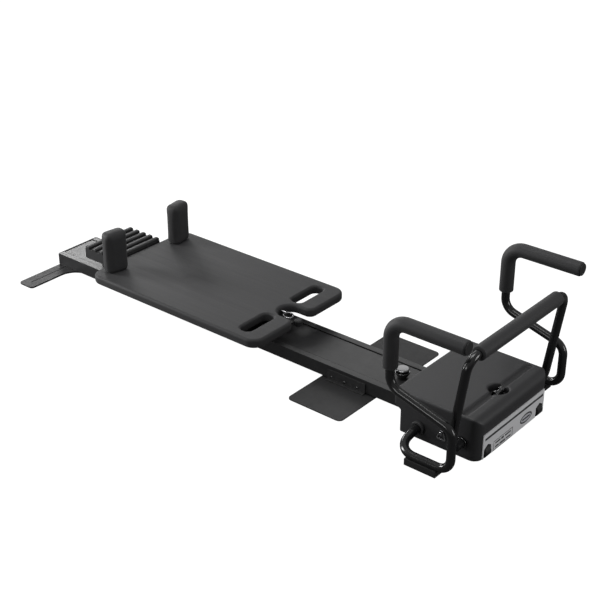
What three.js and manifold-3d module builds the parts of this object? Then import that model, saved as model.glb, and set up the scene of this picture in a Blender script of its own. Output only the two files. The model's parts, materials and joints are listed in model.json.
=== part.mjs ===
// A low home pilates reformer: one floor rail, a sliding carriage with two shoulder rests, a ribbed foot
// platform behind it, and a front base that carries a folding foot bar and two folding side handles.
// Millimetres. +X runs from the rear foot to the front base, +Y to the user's left when facing the base,
// +Z up. The origin is on the floor, at the middle of the object's box.
import * as THREE from "three";
import { mergeVertices } from "three/addons/utils/BufferGeometryUtils.js";
import Module from "manifold-3d";

// ---- driving dimensions -------------------------------------------------------------------------------
const GAP = 0.3; // kept between touching pieces

// floor rail
const RAIL = { rear: -996, front: 755, half: 98, bottom: 9, top: 56, wall: 3, rimInner: 73 };
const COVER = { half: 69.8, top: 53.5, wall: 2.5 };
const END_CAP = 5;

// rear foot and floor wings
const REAR_FOOT = { rear: -1002, front: -928, half: 298, bottom: 2, top: 8.5, tongueHalf: 84, fillet: 66 };
const WING = { rear: 308, front: 528, half: 279, bottom: 2, top: 6, corner: 18 };
const BRACKET = { rear: 336, front: 490, thick: 3, flange: 14, top: 44 };
const PAD_TOP = 1.7;

// ribbed foot platform
const PLATFORM = { rear: -820, front: -656, half: 114, bottom: 100, flat: 138, top: 149 };
const RIB = { count: 5, pitch: 35.2, half: 9.5, shoulder: 143 };
const RISER = { rear: -795, front: -681, half: 60, top: 99.7 };

// carriage
const DECK = { rear: -652, front: 146, half: 245, bottom: 102, top: 136, corner: 45, edge: 8 };
const SLOT = { rear: 32, front: 80, inner: 62, outer: 204, corner: 20, lip: 5 };
const NOTCH = { centre: 89, radius: 44, lip: 28 };
const TRAY = { rear: -480, front: -30, top: 101.7, thick: 3, half: 72.3, wall: 2, bottom: 60 };
const TONGUE = { front: 110.7, half: 16, thick: 4 };
const BUMPER = { x: 126, radius: 15, bottom: 91, top: 114 };
const HOOK = { rear: -380, front: -130, bottom: 46, thick: 3, reach: 84 };
const WHEEL = { radius: 18, inner: 73.6, outer: 88, rear: -420, front: -90 };
const AXLE = { radius: 4, half: 91 };
const REST = { x: -601, y: 162, long: 56, wide: 90, toeOut: 8, top: 293, round: 16, corner: 20 };

// front base
const BASE = { rear: 698, front: 984, half: 201, bottom: 4, seam: 82.7, wall: 5, corner: 32, rearCorner: 7 };
const TOP = { rear: 676, shoulder: 96, bottom: 83, top: 150, frontRound: 28, sideRound: 6, skin: 18 };
const GROOVE = { x: 922, half: 190, width: 22, depth: 9 };
const POCKET = { radius: 33, depth: 30 };
const PANEL = { half: 176, bottom: 8, top: 93, thick: 2.5 };
const POST = { x: 565, foot: 15, shoulder: 23, neck: 70, ring: 25, ringTop: 76, cap: 88 };
const CORD_ROLLER = { z: 136, core: 8, flange: 12, half: 21 };

// tubes and foam grips
const TUBE = 14;
const GRIP = 24;
const GRIP_BORE = 14.4;

// folding foot bar, folding side handles, transport wheels and anchor rings
const BAR = { pivotX: 928, pivotZ: 60, topX: 975, topZ: 391, half: 272.6, gripHalf: 221.6, inside: 180, bend: 45 };
const HANDLE = { y: 318, pivotX: 772, pivotZ: 48, tip: 998.5, rear: 739, grip: 459, sleeve: 302, knee: 240 };
const LOOP = { front: 965, top: 175, bottom: 30, rise: 234 };
const HANDLE_PAD = { rear: 813, front: 925, half: 18, top: 23 };
const ROLLER = { x: 971, z: 24, radius: 22, inner: 136, outer: 164 };
const BAY = { inner: 129, outer: 170, shoulder: 41, peak: 52 };
const RING = { x: 857, z: 66, stud: 4, head: 6 };
const BAIL = { x: 64, z: 117, radius: 17, wire: 2.4 };

// ---- materials ----------------------------------------------------------------------------------------
function finish(color, roughness, metalness) {
  return new THREE.MeshStandardMaterial({ color, roughness, metalness });
}
const BLACK_PAINT = finish(0x0b0b0c, 0.25, 0.0);
const SATIN_PAINT = finish(0x26262a, 0.45, 0.3);
const PLATE_PAINT = finish(0x1d1d20, 0.6, 0.1);
const MOULDED = finish(0x1c1c1e, 0.6, 0.0);
const DECK_SKIN = finish(0x232325, 0.7, 0.0);
const FOAM = finish(0x1a1a1c, 0.85, 0.0);
const RUBBER = finish(0x0d0d0e, 0.8, 0.0);
const CHROME = finish(0xd8d8dc, 0.1, 1.0);
const STEEL = finish(0x8a8c90, 0.4, 0.9);
const SILVER = finish(0xa9aab2, 0.4, 0.8);

// ---- solids -------------------------------------------------------------------------------------------
const wasm = await Module();
wasm.setup();

// A closed three.js geometry as a manifold-3d solid.
function solid(geometry) {
  const bare = geometry.index ? geometry.toNonIndexed() : geometry.clone();
  bare.deleteAttribute("normal");
  bare.deleteAttribute("uv");
  const merged = mergeVertices(bare, 1e-4);
  const triVerts = new Uint32Array(merged.index.array);
  return new wasm.Manifold(
    new wasm.Mesh({ numProp: 3, vertProperties: merged.attributes.position.array, triVerts }),
  );
}

// A manifold-3d solid as a three.js geometry.
function geometryOf(made) {
  const mesh = made.getMesh();
  const geometry = new THREE.BufferGeometry();
  geometry.setAttribute("position", new THREE.BufferAttribute(new Float32Array(mesh.vertProperties), 3));
  geometry.setIndex(new THREE.BufferAttribute(new Uint32Array(mesh.triVerts), 1));
  geometry.computeVertexNormals();
  return geometry;
}

function box(x0, x1, y0, y1, z0, z1) {
  const geometry = new THREE.BoxGeometry(x1 - x0, y1 - y0, z1 - z0);
  return solid(geometry.translate((x0 + x1) / 2, (y0 + y1) / 2, (z0 + z1) / 2));
}

// A round bar along Y, closed on its axis, or a ring when it has a bore.
function roundY(x, z, y0, y1, radius, bore = 0, sides = 24) {
  const profile = bore
    ? [[bore, y0], [radius, y0], [radius, y1], [bore, y1], [bore, y0]]
    : [[0, y0], [radius, y0], [radius, y1], [0, y1]];
  const points = profile.map(([r, y]) => new THREE.Vector2(r, y));
  return solid(new THREE.LatheGeometry(points, sides).translate(x, 0, z));
}

// A turned piece about a vertical axis, from [radius, height] pairs that start and end on the axis.
function turnedZ(x, y, profile, sides = 24) {
  const points = profile.map(([r, z]) => new THREE.Vector2(r, z));
  return solid(new THREE.LatheGeometry(points, sides).rotateX(Math.PI / 2).translate(x, y, 0));
}

function roundedRect(x0, y0, x1, y1, radii, shape = new THREE.Shape()) {
  const [a, b, c, d] = Array.isArray(radii) ? radii : [radii, radii, radii, radii];
  shape.moveTo(x0 + a, y0);
  shape.lineTo(x1 - b, y0);
  if (b) shape.absarc(x1 - b, y0 + b, b, -Math.PI / 2, 0, false);
  shape.lineTo(x1, y1 - c);
  if (c) shape.absarc(x1 - c, y1 - c, c, 0, Math.PI / 2, false);
  shape.lineTo(x0 + d, y1);
  if (d) shape.absarc(x0 + d, y1 - d, d, Math.PI / 2, Math.PI, false);
  shape.lineTo(x0, y0 + a);
  if (a) shape.absarc(x0 + a, y0 + a, a, Math.PI, 1.5 * Math.PI, false);
  return shape;
}

function polygon(points) {
  return new THREE.Shape(points.map(([u, v]) => new THREE.Vector2(u, v)));
}

// Straight prisms: a plan drawn in X and Y, a section drawn in Y and Z, or a side view drawn in X and Z.
function prismZ(shape, z0, z1, segments = 5) {
  const options = { depth: z1 - z0, bevelEnabled: false, curveSegments: segments };
  return solid(new THREE.ExtrudeGeometry(shape, options).translate(0, 0, z0));
}
function prismX(shape, x0, x1, segments = 5) {
  const options = { depth: x1 - x0, bevelEnabled: false, curveSegments: segments };
  const turn = new THREE.Matrix4().set(0, 0, 1, x0, 1, 0, 0, 0, 0, 1, 0, 0, 0, 0, 0, 1);
  return solid(new THREE.ExtrudeGeometry(shape, options).applyMatrix4(turn));
}
function prismY(shape, y0, y1, segments = 5) {
  const options = { depth: y1 - y0, bevelEnabled: false, curveSegments: segments };
  return solid(new THREE.ExtrudeGeometry(shape, options).rotateX(Math.PI / 2).translate(0, y1, 0));
}

// A slab from a plan, with its upper and lower edges rounded.
function softSlab(shape, z0, z1, edge, segments = 5) {
  const options = {
    depth: z1 - z0 - 2 * edge,
    bevelSize: edge,
    bevelThickness: edge,
    bevelOffset: -edge,
    bevelSegments: 3,
    curveSegments: segments,
  };
  return solid(new THREE.ExtrudeGeometry(shape, options).translate(0, 0, z0 + edge));
}

// The centre line of a bent tube: straight runs joined by round bends. It is sampled at the ends of each
// run and along each bend, so a straight run costs one step.
class BentLine extends THREE.Curve {
  constructor(corners, radii, stepsPerBend = 5) {
    super();
    const at = corners.map((corner) => new THREE.Vector3(...corner));
    const towards = (from, to) => to.clone().sub(from).normalize();
    this.stations = [{ point: at[0], tangent: towards(at[0], at[1]) }];
    for (let i = 1; i < at.length - 1; i++) {
      const radius = radii[i - 1];
      const along = towards(at[i - 1], at[i]);
      const next = towards(at[i], at[i + 1]);
      const turn = along.angleTo(next);
      const inward = next.clone().addScaledVector(along, -along.dot(next)).normalize();
      const start = at[i].clone().addScaledVector(along, -radius * Math.tan(turn / 2));
      const centre = start.clone().addScaledVector(inward, radius);
      for (let step = 0; step <= stepsPerBend; step++) {
        const angle = (turn * step) / stepsPerBend;
        const point = centre.clone().addScaledVector(inward, -radius * Math.cos(angle));
        point.addScaledVector(along, radius * Math.sin(angle));
        const tangent = along.clone().multiplyScalar(Math.cos(angle));
        tangent.addScaledVector(inward, Math.sin(angle));
        this.stations.push({ point, tangent });
      }
    }
    this.stations.push({ point: at.at(-1), tangent: towards(at.at(-2), at.at(-1)) });
  }

  get steps() {
    return this.stations.length - 1;
  }

  station(u) {
    return this.stations[Math.round(u * this.steps)];
  }

  getPointAt(u) {
    return this.station(u).point.clone();
  }

  getTangentAt(u) {
    return this.station(u).tangent.clone();
  }
}

function circle(radius, sides, shape = new THREE.Path()) {
  for (let i = 0; i < sides; i++) {
    const angle = (2 * Math.PI * (i + 0.5)) / sides;
    const [u, v] = [radius * Math.cos(angle), radius * Math.sin(angle)];
    if (i) shape.lineTo(u, v);
    else shape.moveTo(u, v);
  }
  shape.closePath();
  return shape;
}

// A round tube or sleeve along a bent line. A bore is given over its flats, so a sleeve clears its tube.
function bentTube(line, radius, bore = 0, sides = 12) {
  const section = circle(radius, sides, new THREE.Shape());
  if (bore) section.holes.push(circle(bore / Math.cos(Math.PI / sides), sides));
  return solid(
    new THREE.ExtrudeGeometry(section, { extrudePath: line, steps: line.steps, bevelEnabled: false }),
  );
}

function discSection(y, z, radius, sides = 24) {
  const points = Array.from({ length: sides }, (_, i) => {
    const angle = (2 * Math.PI * i) / sides;
    return [y + radius * Math.cos(angle), z + radius * Math.sin(angle)];
  });
  return polygon(points);
}

// ---- the tree of pieces -------------------------------------------------------------------------------
const reformer = new THREE.Group();
reformer.name = "pilates_reformer";

function add(group, name, made, material) {
  const mesh = new THREE.Mesh(geometryOf(made), material);
  mesh.name = name;
  group.add(mesh);
  return mesh;
}

function subgroup(name, parent = reformer) {
  const group = new THREE.Group();
  group.name = name;
  parent.add(group);
  return group;
}

// Runs once for the right side (-1) and once for the left (+1).
function eachSide(make) {
  make(-1, "right");
  make(1, "left");
}

// The lower and higher of two values on one side of the centre line.
function span(side, inner, outer) {
  return side > 0 ? [inner, outer] : [-outer, -inner];
}

// ---- floor rail ---------------------------------------------------------------------------------------
const frame = subgroup("frame");

// A channel, open above between its two rims.
function railSection() {
  const { half, bottom, top, wall, rimInner } = RAIL;
  const inner = half - wall;
  const right = [
    [half, bottom],
    [half, top],
    [rimInner, top],
    [rimInner, top - wall],
    [inner, top - wall],
    [inner, bottom + wall],
  ];
  const left = right.map(([y, z]) => [-y, z]).reverse();
  return polygon([...right, ...left]);
}
add(frame, "rail", prismX(railSection(), RAIL.rear, RAIL.front), SATIN_PAINT);

// A cover that stands on the channel's floor on two legs.
function coverSection() {
  const { half, top, wall } = COVER;
  const floor = RAIL.bottom + RAIL.wall + GAP;
  return polygon([
    [-half, floor],
    [-half + wall, floor],
    [-half + wall, top - wall],
    [half - wall, top - wall],
    [half - wall, floor],
    [half, floor],
    [half, top],
    [-half, top],
  ]);
}
add(frame, "rail_cover", prismX(coverSection(), RAIL.rear + 1, RAIL.front - 1), SATIN_PAINT);

const capSection = roundedRect(-RAIL.half, RAIL.bottom, RAIL.half, RAIL.top, 4);
const capFront = RAIL.rear - GAP;
add(frame, "rail_end_cap", prismX(capSection, capFront - END_CAP, capFront, 3), MOULDED);

// ---- rear foot ----------------------------------------------------------------------------------------
function rearFootPlan() {
  const { rear, front, half, tongueHalf, fillet } = REAR_FOOT;
  const round = 14;
  const plan = new THREE.Shape();
  plan.moveTo(rear + round, -half);
  plan.absarc(front - round, -half + round, round, -Math.PI / 2, 0, false);
  plan.absarc(front + fillet, -tongueHalf - fillet, fillet, Math.PI, Math.PI / 2, true);
  plan.absarc(front + fillet, tongueHalf + fillet, fillet, -Math.PI / 2, -Math.PI, true);
  plan.absarc(front - round, half - round, round, 0, Math.PI / 2, false);
  plan.absarc(rear + round, half - round, round, Math.PI / 2, Math.PI, false);
  plan.absarc(rear + round, -half + round, round, Math.PI, 1.5 * Math.PI, false);
  return plan;
}
const footMiddle = (REAR_FOOT.rear + REAR_FOOT.front) / 2;
const footGroove = box(footMiddle - 1.5, footMiddle + 1.5, -268, 268, REAR_FOOT.top - 1.5, REAR_FOOT.top + 1);
const footPlate = prismZ(rearFootPlan(), REAR_FOOT.bottom, REAR_FOOT.top, 6);
add(frame, "rear_foot", footPlate.subtract(footGroove), PLATE_PAINT);

// ---- floor wings --------------------------------------------------------------------------------------
const wingPlan = roundedRect(WING.rear, -WING.half, WING.front, WING.half, WING.corner);
add(frame, "wing_plate", prismZ(wingPlan, WING.bottom, WING.top, 4), PLATE_PAINT);

eachSide((side, hand) => {
  const [f0, f1] = span(side, REAR_FOOT.half - 228, REAR_FOOT.half - 8);
  add(frame, `rear_foot_pad_${hand}`, box(footMiddle - 28, footMiddle + 28, f0, f1, 0, PAD_TOP), RUBBER);
  const [w0, w1] = span(side, RAIL.half + 10, WING.half - 8);
  add(frame, `wing_pad_${hand}`, box(WING.rear + 10, WING.front - 10, w0, w1, 0, PAD_TOP), RUBBER);
  const foot = WING.top + GAP;
  const inner = RAIL.half + GAP;
  const angle = [
    [inner, foot],
    [inner + BRACKET.flange, foot],
    [inner + BRACKET.flange, foot + BRACKET.thick],
    [inner + BRACKET.thick, foot + BRACKET.thick],
    [inner + BRACKET.thick, BRACKET.top],
    [inner, BRACKET.top],
  ].map(([y, z]) => [side * y, z]);
  add(frame, `wing_bracket_${hand}`, prismX(polygon(angle), BRACKET.rear, BRACKET.front), PLATE_PAINT);
});

// ---- ribbed foot platform -----------------------------------------------------------------------------
const riserOutside = box(RISER.rear, RISER.front, -RISER.half, RISER.half, COVER.top + GAP, RISER.top);
const riserInside = box(RISER.rear + 4, RISER.front - 4, -RISER.half + 4, RISER.half - 4, 50, RISER.top - 4);
add(frame, "platform_riser", riserOutside.subtract(riserInside), SATIN_PAINT);

// The side view: a slab whose top rises into a row of round ribs.
function ribbedSideView() {
  const { rear, front, bottom, flat, top } = PLATFORM;
  const first = (rear + front - RIB.pitch * (RIB.count - 1)) / 2;
  const view = new THREE.Shape();
  view.moveTo(rear, bottom);
  view.lineTo(front, bottom);
  view.lineTo(front, flat);
  for (let i = RIB.count - 1; i >= 0; i--) {
    const x = first + RIB.pitch * i;
    view.lineTo(x + RIB.half, flat);
    view.absellipse(x, RIB.shoulder, RIB.half, top - RIB.shoulder, 0, Math.PI, false);
    view.lineTo(x - RIB.half, flat);
  }
  view.lineTo(rear, flat);
  return view;
}
const ribEnds = roundedRect(-PLATFORM.half, 90, PLATFORM.half, PLATFORM.top, [0, 0, 4, 4]);
const platformInside = box(
  PLATFORM.rear + 6,
  PLATFORM.front - 6,
  -PLATFORM.half + 6,
  PLATFORM.half - 6,
  PLATFORM.bottom + 5,
  PLATFORM.flat - 5,
);
const platformMouths = box(PLATFORM.rear + 10, PLATFORM.rear + 22, -50, 50, 90, PLATFORM.bottom + 6);
const platform = prismY(ribbedSideView(), -PLATFORM.half, PLATFORM.half, 5)
  .intersect(prismX(ribEnds, PLATFORM.rear - 1, PLATFORM.front + 1, 3))
  .subtract(platformInside)
  .subtract(platformMouths);
add(frame, "ribbed_platform", platform, MOULDED);

const stopRear = PLATFORM.front + GAP;
add(frame, "rear_bumper", box(stopRear, DECK.rear - GAP, -70, 70, 106, 130), RUBBER);

// ---- cord post on the rail ----------------------------------------------------------------------------
const postCone = [
  [0, COVER.top + GAP],
  [POST.foot, COVER.top + GAP],
  [POST.shoulder, POST.neck],
  [0, POST.neck],
];
add(frame, "cord_post", turnedZ(POST.x, 0, postCone), RUBBER);
const postRing = [
  [0, POST.neck + GAP],
  [POST.ring, POST.neck + GAP],
  [POST.ring, POST.ringTop],
  [0, POST.ringTop],
];
add(frame, "cord_post_ring", turnedZ(POST.x, 0, postRing), CHROME);
const postCap = [
  [0, POST.ringTop + GAP],
  [POST.foot, POST.ringTop + GAP],
  [POST.foot, POST.cap - 7],
  [POST.shoulder, POST.cap - 7],
  [POST.shoulder, POST.cap - 3],
  [POST.shoulder - 4, POST.cap],
  [0, POST.cap],
];
add(frame, "cord_post_cap", turnedZ(POST.x, 0, postCap), CHROME);

// ---- front base ---------------------------------------------------------------------------------------
function basePlan(rear, inset) {
  const edge = BASE.half - inset;
  const [back, corner] = [BASE.rearCorner - inset, BASE.corner - inset];
  return roundedRect(rear + inset, -edge, BASE.front - inset, edge, [back, corner, corner, back]);
}
function wheelBay(side) {
  const [y0, y1] = span(side, BAY.inner, BAY.outer);
  return box(ROLLER.x, BASE.front + 5, y0, y1, 0, BAY.peak);
}
function stubHole(x, z, side) {
  const [y0, y1] = span(side, BASE.half - BASE.wall - 5, BASE.half + 5);
  return roundY(x, z, y0, y1, TUBE + 1, 0, 20);
}
const railMouth = box(BASE.rear - 5, BASE.rear + 10, -RAIL.half - 1, RAIL.half + 1, 0, RAIL.top + 1);
let housing = prismZ(basePlan(BASE.rear, 0), BASE.bottom, BASE.seam);
housing = housing.subtract(prismZ(basePlan(BASE.rear, BASE.wall), 0, BASE.seam + 1)).subtract(railMouth);
eachSide((side) => {
  housing = housing.subtract(wheelBay(side));
  housing = housing.subtract(stubHole(HANDLE.pivotX, HANDLE.pivotZ, side));
  housing = housing.subtract(stubHole(BAR.pivotX, BAR.pivotZ, side));
});
add(frame, "base_housing", housing, MOULDED);

const panEdge = BASE.half - BASE.wall - GAP;
const floorPan = box(
  BASE.rear + BASE.rearCorner,
  ROLLER.x - ROLLER.radius - 4,
  -panEdge,
  panEdge,
  BASE.bottom,
  BASE.bottom + 4,
);
add(frame, "base_floor_pan", floorPan, SATIN_PAINT);

// The standing top: a slab with a chamfer under its rear edge and a large round along its front edge.
function topSideView() {
  const { rear, shoulder, bottom, top, frontRound } = TOP;
  const view = new THREE.Shape();
  view.moveTo(BASE.rear, bottom);
  view.lineTo(BASE.front, bottom);
  view.absarc(BASE.front - frontRound, top - frontRound, frontRound, 0, Math.PI / 2, false);
  view.lineTo(rear + 3, top);
  view.lineTo(rear, top - 3);
  view.lineTo(rear, shoulder);
  return view;
}
function plugZ(radius, z0, z1) {
  const profile = [
    [0, z0],
    [radius, z0],
    [radius, z1],
    [0, z1],
  ];
  return turnedZ(GROOVE.x, 0, profile, 28);
}
const { half: baseHalf, front: baseFront, rear: baseRear } = BASE;
const topEnds = roundedRect(-baseHalf, TOP.bottom - 1, baseHalf, TOP.top, [0, 0, TOP.sideRound, TOP.sideRound]);
const topInside = box(
  baseRear + 6,
  baseFront - 12,
  -baseHalf + 8,
  baseHalf - 8,
  TOP.bottom - 1,
  TOP.top - TOP.skin,
).subtract(plugZ(POCKET.radius + 5, TOP.bottom - 5, TOP.top));
const grooveHalf = GROOVE.width / 2;
const groovePlan = roundedRect(
  GROOVE.x - grooveHalf,
  -GROOVE.half,
  GROOVE.x + grooveHalf,
  GROOVE.half,
  grooveHalf - 0.5,
);
const baseTop = prismY(topSideView(), -baseHalf, baseHalf, 7)
  .intersect(prismZ(basePlan(TOP.rear, 0), TOP.bottom - 1, TOP.top + 1))
  .intersect(prismX(topEnds, TOP.rear - 1, baseFront + 1, 3))
  .subtract(topInside)
  .subtract(prismZ(groovePlan, TOP.top - GROOVE.depth, TOP.top + 1))
  .subtract(plugZ(POCKET.radius, TOP.top - POCKET.depth, TOP.top + 1));
add(frame, "base_top", baseTop, MOULDED);

// A cord roller lies across the pocket on a fixed axle.
const pocketAxleHalf = POCKET.radius - 1.5;
add(frame, "cord_roller_axle", roundY(GROOVE.x, CORD_ROLLER.z, -pocketAxleHalf, pocketAxleHalf, 3, 0, 12), STEEL);
const rollerGroup = subgroup("cord_roller_group");
let cordRoller = roundY(GROOVE.x, CORD_ROLLER.z, -CORD_ROLLER.half, CORD_ROLLER.half, CORD_ROLLER.core, 3.3, 16);
eachSide((side) => {
  const [y0, y1] = span(side, CORD_ROLLER.half - 10, CORD_ROLLER.half);
  cordRoller = cordRoller.add(roundY(GROOVE.x, CORD_ROLLER.z, y0, y1, CORD_ROLLER.flange, 3.3, 16));
});
add(rollerGroup, "cord_roller", cordRoller, CHROME);

// The front panel is a thin plate with a pointed opening in front of each transport wheel.
const panelRear = BASE.front + GAP;
const panelFront = panelRear + PANEL.thick;
let panel = prismX(roundedRect(-PANEL.half, PANEL.bottom, PANEL.half, PANEL.top, 3), panelRear, panelFront, 2);
eachSide((side) => {
  const opening = [
    [BAY.inner, 0],
    [BAY.outer, 0],
    [BAY.outer, BAY.shoulder],
    [(BAY.inner + BAY.outer) / 2, BAY.peak],
    [BAY.inner, BAY.shoulder],
  ].map(([y, z]) => [side * y, z]);
  panel = panel.subtract(prismX(polygon(opening), panelRear - 1, panelFront + 1));
});
add(frame, "front_panel", panel, SILVER);

eachSide((side, hand) => {
  const [c0, c1] = span(side, BASE.half + GAP, BASE.half + 12);
  const collar = roundY(HANDLE.pivotX, HANDLE.pivotZ, c0, c1, 23, TUBE + 0.8, 20);
  add(frame, `handle_collar_${hand}`, collar, MOULDED);
  const [b0, b1] = span(side, BASE.half + GAP, BASE.half + 7);
  const bush = roundY(BAR.pivotX, BAR.pivotZ, b0, b1, 18, TUBE + 0.8, 20);
  add(frame, `bar_collar_${hand}`, bush, CHROME);
});
eachSide((side, hand) => {
  const [y0, y1] = span(side, 105, 190);
  add(frame, `base_foot_${hand}`, box(730, 905, y0, y1, 0, BASE.bottom - GAP), RUBBER);
});

// ---- transport wheels ---------------------------------------------------------------------------------
const axleEnd = BAY.outer + 6;
add(frame, "transport_axle", roundY(ROLLER.x, ROLLER.z, -axleEnd, axleEnd, 5, 0, 12), STEEL);
eachSide((side, hand) => {
  const [y0, y1] = span(side, ROLLER.inner, ROLLER.outer);
  const group = subgroup(`transport_wheel_group_${hand}`);
  const wheel = roundY(ROLLER.x, ROLLER.z, y0, y1, ROLLER.radius, 5.4, 28);
  add(group, `transport_wheel_${hand}`, wheel, RUBBER);
});

// ---- side anchor rings --------------------------------------------------------------------------------
function ringPlan() {
  const outer = [
    [17, -20],
    [7, 5],
    [4.5, 8],
  ];
  const inner = [
    [10.5, -20.5],
    [12.2, -19],
    [4.6, 2],
    [3.5, 4.6],
  ];
  const around = (half) => [...half, ...half.map(([u, v]) => [-u, v]).reverse()];
  const place = ([u, v]) => [RING.x + u, RING.z + v];
  const plan = polygon(around([[14, -25], ...outer]).map(place));
  plan.holes.push(new THREE.Path(around(inner).map(place).map(([u, v]) => new THREE.Vector2(u, v))));
  return plan;
}
eachSide((side, hand) => {
  const root = BASE.half + GAP;
  const shaft = roundY(RING.x, RING.z, ...span(side, root, root + 11), RING.stud, 0, 12);
  const head = roundY(RING.x, RING.z, ...span(side, root + 9, root + 12), RING.head, 0, 12);
  add(frame, `ring_stud_${hand}`, shaft.add(head), CHROME);
  const group = subgroup(`side_ring_group_${hand}`);
  add(group, `side_ring_${hand}`, prismY(ringPlan(), ...span(side, root + 3, root + 6.5)), CHROME);
});

// ---- carriage -----------------------------------------------------------------------------------------
const carriage = subgroup("carriage");

function deckPlan() {
  const { rear, front, half, corner } = DECK;
  const { centre, radius, lip } = NOTCH;
  const plan = new THREE.Shape();
  plan.moveTo(rear + corner, -half);
  plan.absarc(front - corner, -half + corner, corner, -Math.PI / 2, 0, false);
  plan.absarc(front - lip, -radius - lip, lip, 0, Math.PI / 2, false);
  plan.absarc(centre, 0, radius, 1.5 * Math.PI, Math.PI / 2, true);
  plan.absarc(front - lip, radius + lip, lip, 1.5 * Math.PI, 2 * Math.PI, false);
  plan.absarc(front - corner, half - corner, corner, 0, Math.PI / 2, false);
  plan.absarc(rear + corner, half - corner, corner, Math.PI / 2, Math.PI, false);
  plan.absarc(rear + corner, -half + corner, corner, Math.PI, 1.5 * Math.PI, false);
  return plan;
}

// A cutter for a hand slot: it widens at both faces of the deck, so the slot's lips come out rounded.
function slotCutter(side) {
  const { rear, front, inner, outer, corner, lip } = SLOT;
  const [y0, y1] = span(side, inner, outer);
  const [z0, z1] = [DECK.bottom - 0.05, DECK.top + 0.05];
  const options = {
    depth: z1 - z0 - 2 * lip,
    bevelSize: -lip,
    bevelThickness: lip,
    bevelOffset: lip,
    bevelSegments: 2,
    curveSegments: 4,
  };
  const geometry = new THREE.ExtrudeGeometry(roundedRect(rear, y0, front, y1, corner), options);
  return solid(geometry.translate(0, 0, z0 + lip));
}
let deck = softSlab(deckPlan(), DECK.bottom, DECK.top, DECK.edge, 6);
eachSide((side) => {
  deck = deck.subtract(slotCutter(side));
});
add(carriage, "carriage_deck", deck, DECK_SKIN);

// The steel tray under the deck: its side walls carry the axles, and hooks on them reach through the
// rail's slots and under its rims, so the carriage can't lift off.
function carriageTray() {
  const { rear, front, top, thick, half, wall, bottom } = TRAY;
  let tray = box(rear, front, -half, half, top - thick, top);
  tray = tray.add(box(front - 1, TONGUE.front, -TONGUE.half, TONGUE.half, top - TONGUE.thick, top));
  eachSide((side) => {
    const wallSpan = span(side, half - wall, half);
    tray = tray.add(box(rear, front, ...wallSpan, bottom, top - 1));
    tray = tray.add(box(HOOK.rear, HOOK.front, ...wallSpan, HOOK.bottom, bottom + 1));
    const lipSpan = span(side, half - wall, HOOK.reach);
    tray = tray.add(box(HOOK.rear, HOOK.front, ...lipSpan, HOOK.bottom, HOOK.bottom + HOOK.thick));
  });
  const hubZ = RAIL.top + WHEEL.radius + 2 * GAP;
  for (const x of [WHEEL.rear, WHEEL.front]) {
    tray = tray.subtract(roundY(x, hubZ, -half - 1, half + 1, AXLE.radius + 0.4, 0, 12));
  }
  return tray;
}
add(carriage, "carriage_tray", carriageTray(), SATIN_PAINT);

const hub = RAIL.top + WHEEL.radius + 2 * GAP;
for (const [place, x] of [["rear", WHEEL.rear], ["front", WHEEL.front]]) {
  add(carriage, `wheel_axle_${place}`, roundY(x, hub, -AXLE.half, AXLE.half, AXLE.radius, 0, 12), STEEL);
  eachSide((side, hand) => {
    const [y0, y1] = span(side, WHEEL.inner, WHEEL.outer);
    const group = subgroup(`carriage_wheel_group_${place}_${hand}`, carriage);
    const wheel = roundY(x, hub, y0, y1, WHEEL.radius, AXLE.radius + 0.4, 24);
    add(group, `carriage_wheel_${place}_${hand}`, wheel, RUBBER);
  });
}

// The shoulder rests are rounded upright blocks, turned a little outwards.
eachSide((side, hand) => {
  const { x, y, long, wide, toeOut, top, round, corner } = REST;
  const plan = roundedRect(-long / 2, -wide / 2, long / 2, wide / 2, corner);
  const block = softSlab(plan, DECK.top + GAP, top, round, 4);
  const placed = block.rotate([0, 0, side * toeOut]).translate([x, side * y, 0]);
  add(carriage, `shoulder_rest_${hand}`, placed, DECK_SKIN);
});

const puck = [
  [0, BUMPER.bottom],
  [BUMPER.radius - 3, BUMPER.bottom],
  [BUMPER.radius, BUMPER.bottom + 3],
  [BUMPER.radius, BUMPER.top - 4],
  [BUMPER.radius - 4, BUMPER.top],
  [0, BUMPER.top],
];
add(carriage, "carriage_bumper", turnedZ(BUMPER.x, 0, puck), RUBBER);

// A small eye in the deck's notch carries a wire ring.
const eyeRoot = NOTCH.centre - NOTCH.radius + GAP;
const eyeFront = BAIL.x + 7;
const eyeHole = roundY(BAIL.x, BAIL.z, -6, 6, BAIL.wire + 1.1, 0, 16);
const eye = box(eyeRoot, eyeFront, -2, 2, BAIL.z - 7, BAIL.z + 7).subtract(eyeHole);
add(carriage, "carriage_eye", eye, CHROME);
const bailGroup = subgroup("carriage_ring_group", carriage);
const bailLean = 0.12;
const bail = new THREE.TorusGeometry(BAIL.radius, BAIL.wire, 8, 28)
  .translate(BAIL.radius, 0, 0)
  .rotateY(bailLean)
  .translate(BAIL.x, 0, BAIL.z);
add(bailGroup, "carriage_ring", solid(bail), CHROME);

// ---- folding foot bar ---------------------------------------------------------------------------------
const footBar = subgroup("foot_bar");
const barLine = new BentLine(
  [
    [BAR.pivotX, -BAR.inside, BAR.pivotZ],
    [BAR.pivotX, -BAR.half, BAR.pivotZ],
    [BAR.topX, -BAR.half, BAR.topZ],
    [BAR.topX, BAR.half, BAR.topZ],
    [BAR.pivotX, BAR.half, BAR.pivotZ],
    [BAR.pivotX, BAR.inside, BAR.pivotZ],
  ],
  [40, BAR.bend, BAR.bend, 40],
);
add(footBar, "foot_bar_tube", bentTube(barLine, TUBE), BLACK_PAINT);
add(footBar, "foot_bar_grip", roundY(BAR.topX, BAR.topZ, -BAR.gripHalf, BAR.gripHalf, GRIP, GRIP_BORE + 0.2), FOAM);

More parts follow.
